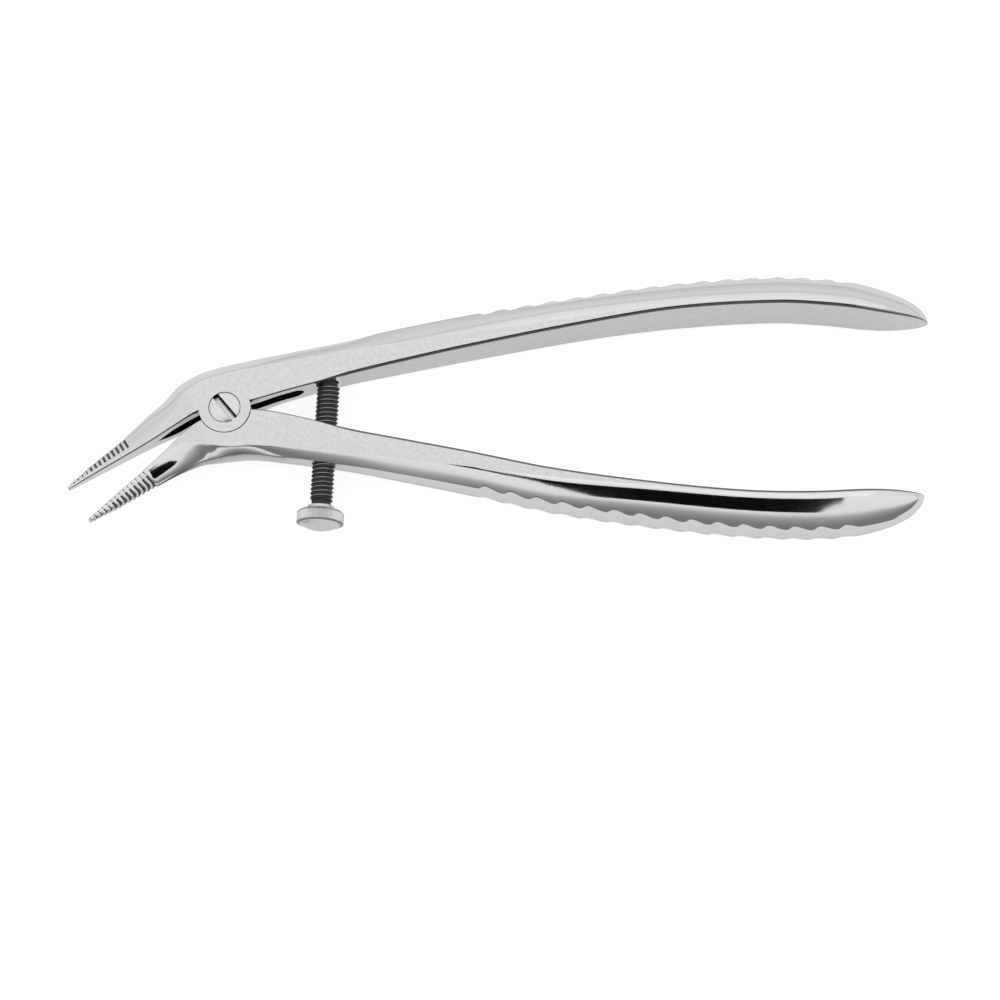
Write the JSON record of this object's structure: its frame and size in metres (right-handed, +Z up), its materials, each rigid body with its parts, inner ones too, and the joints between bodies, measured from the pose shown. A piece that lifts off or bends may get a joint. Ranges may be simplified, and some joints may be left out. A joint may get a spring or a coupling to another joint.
{
  "type": "crown pliers",
  "caption": "Dental pliers that spread a cut crown: thin bent jaws with ridged outer sides, long scalloped handles, a slotted pivot screw and a knurled stop screw between the handles.",
  "frame": {"origin": "middle of the box round the pliers, on the surface that their grips lie on", "axes": "+X from the jaws towards the ends of the handles, +Y from the lower lever towards the upper lever, +Z up along the pivot screw's axis, out of its slotted head"},
  "size_m": [0.1512, 0.0466, 0.0117],
  "materials": {
    "upper_lever_steel": "satin flats, polished curved sides",
    "lower_lever_steel": "satin flats, polished curved sides",
    "pivot_screw_steel": "polished",
    "stop_screw_steel": "machined",
    "knob_steel": "knurled rim, satin faces"
  },
  "bodies": {
    "lower_body": {"lower_lever": "lower_lever_steel", "pivot_screw": "pivot_screw_steel"},
    "upper_body": {"upper_lever": "upper_lever_steel"},
    "screw_body": {"stop_screw": "stop_screw_steel"},
    "knob_body": {"stop_screw_knob": "knob_steel"}
  },
  "joints": [
    {"name": "pivot_hinge", "type": "hinge", "parent": "lower_body", "child": "upper_body", "pos_m": [-0.04813, -0.00125, 0.00586], "axis": [0, 0, 1], "range_deg": [0, 11.5]},
    {"name": "screw_travel", "type": "slide", "parent": "lower_body", "child": "screw_body", "axis": [-0.0454, -0.999, 0], "range_m": [0, 0.00711]},
    {"name": "screw_turn", "type": "hinge", "parent": "screw_body", "child": "knob_body", "pos_m": [-0.03023, 0.00502, 0.00586], "axis": [-0.0454, -0.999, 0], "range_deg": [0, 3240]}
  ],
  "couplings": [
    {"joint": "screw_turn", "follows": "screw_travel", "rad_per_m": 7953.4}
  ]
}
